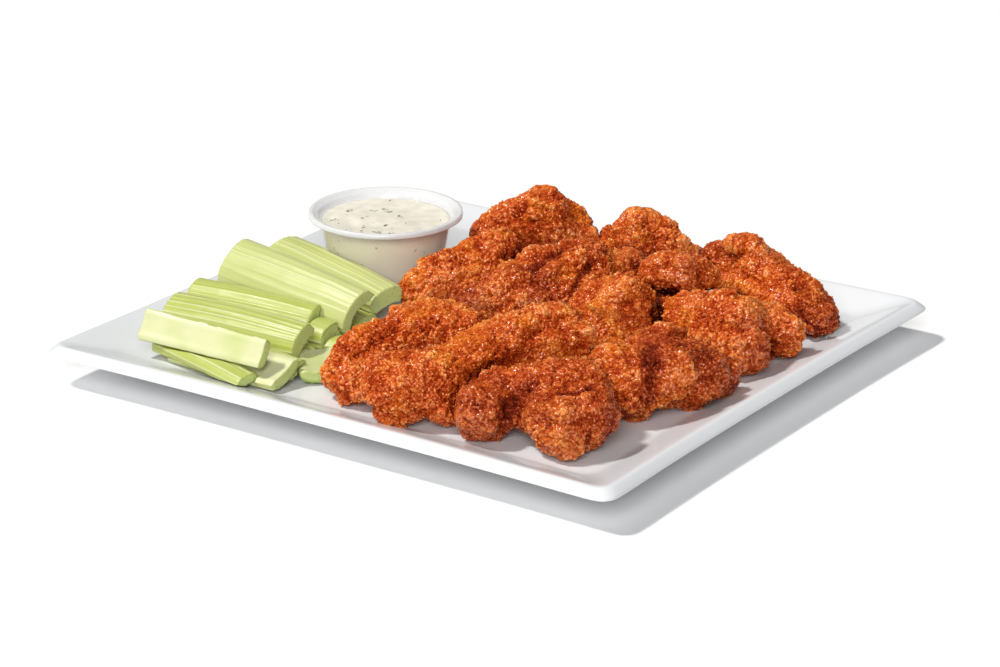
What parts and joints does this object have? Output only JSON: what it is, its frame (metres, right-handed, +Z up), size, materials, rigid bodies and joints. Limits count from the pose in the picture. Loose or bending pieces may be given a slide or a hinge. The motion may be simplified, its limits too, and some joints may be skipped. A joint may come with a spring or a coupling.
{
  "type": "chicken wings serving",
  "caption": "Breaded fried chicken wings heaped on a rectangular rimmed white plate with ribbed celery sticks and a small round pot of creamy herb dip.",
  "frame": {"origin": "middle of the plate's foot, on the table, under the centre of the plate", "axes": "+Z up out of the plate, +X along the plate's long side with the celery towards -X, +Y towards the side where the pot of dip stands"},
  "size_m": [0.2788, 0.2588, 0.0494],
  "materials": {
    "porcelain": "white glaze, glossy",
    "cup_plastic": "clear, slightly milky moulded plastic",
    "dip": "thick cream with green herb flecks, wet sheen; stands in for food",
    "fried_crust": "crumbly orange-brown fried breading, moist with sauce; stands in for food",
    "celery": "pale yellow-green, ribbed, moist; stands in for food"
  },
  "bodies": {
    "root": {"plate": "porcelain", "cup": "cup_plastic", "dip": "dip", "wing_01": "fried_crust", "wing_02": "fried_crust", "wing_03": "fried_crust", "wing_04": "fried_crust", "wing_05": "fried_crust", "wing_06": "fried_crust", "wing_07": "fried_crust", "wing_08": "fried_crust", "wing_09": "fried_crust", "wing_10": "fried_crust", "wing_11": "fried_crust", "wing_12": "fried_crust", "celery_01": "celery", "celery_02": "celery", "celery_03": "celery", "celery_04": "celery", "celery_05": "celery", "celery_06": "celery", "celery_07": "celery", "celery_08": "celery", "celery_09": "celery", "celery_10": "celery", "celery_11": "celery", "celery_12": "celery"}
  },
  "joints": []
}
